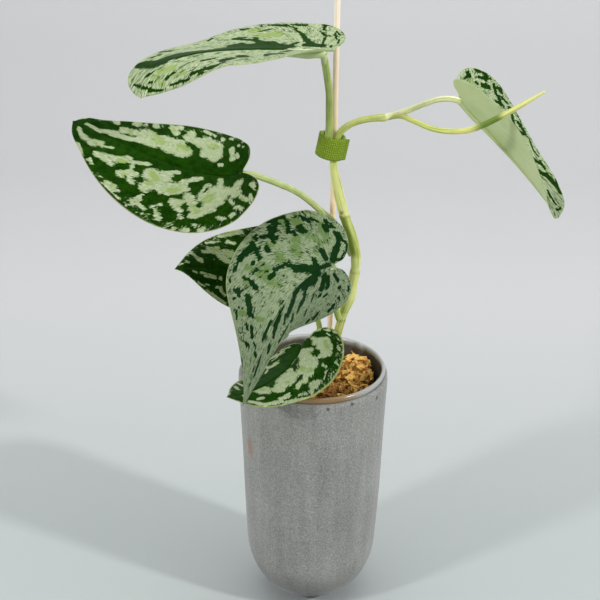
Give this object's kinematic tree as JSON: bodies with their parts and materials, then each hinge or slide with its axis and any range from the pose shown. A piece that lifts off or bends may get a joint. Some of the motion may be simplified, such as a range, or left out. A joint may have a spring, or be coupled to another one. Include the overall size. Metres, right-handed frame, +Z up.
{
  "type": "potted climbing plant",
  "caption": "Young scindapsus with silver-marbled heart-shaped leaves, tied to a thin stick in a moss-filled nursery pot inside a rough grey cachepot.",
  "frame": {"origin": "centre of the cachepot's foot on the ground", "axes": "+Z up along the cachepot's axis, -Y towards the viewer of the picture, +X to the viewer's right"},
  "size_m": [0.2436, 0.1082, 0.34],
  "materials": {
    "grey_stoneware": "rough unglazed, fine grain, matt",
    "clear_plastic": "thin translucent plastic with a glossy rolled lip",
    "sphagnum": "dry golden-brown moss strands, matt",
    "stick_wood": "plain pale wood, fine grain",
    "tie_fabric": "green woven hook-and-loop tape",
    "stem_green": "living stem, satin",
    "spear_green": "rolled new leaf, satin",
    "stalk_green": "leaf stalk, satin",
    "marbled_leaf": "satin leaf, dark green marbled silver and pale green"
  },
  "bodies": {
    "root": {"outer_pot": "grey_stoneware", "inner_pot": "clear_plastic", "moss": "sphagnum", "support_stick": "stick_wood", "plant_tie": "tie_fabric", "vine_stem": "stem_green", "new_leaf_spear": "spear_green", "leaf_top": "marbled_leaf", "petiole_top": "stalk_green", "leaf_left": "marbled_leaf", "petiole_left": "stalk_green", "leaf_back": "marbled_leaf", "petiole_back": "stalk_green", "leaf_front": "marbled_leaf", "petiole_front": "stalk_green", "leaf_low": "marbled_leaf", "petiole_low": "stalk_green", "leaf_right": "marbled_leaf", "petiole_right": "stalk_green"}
  },
  "joints": []
}
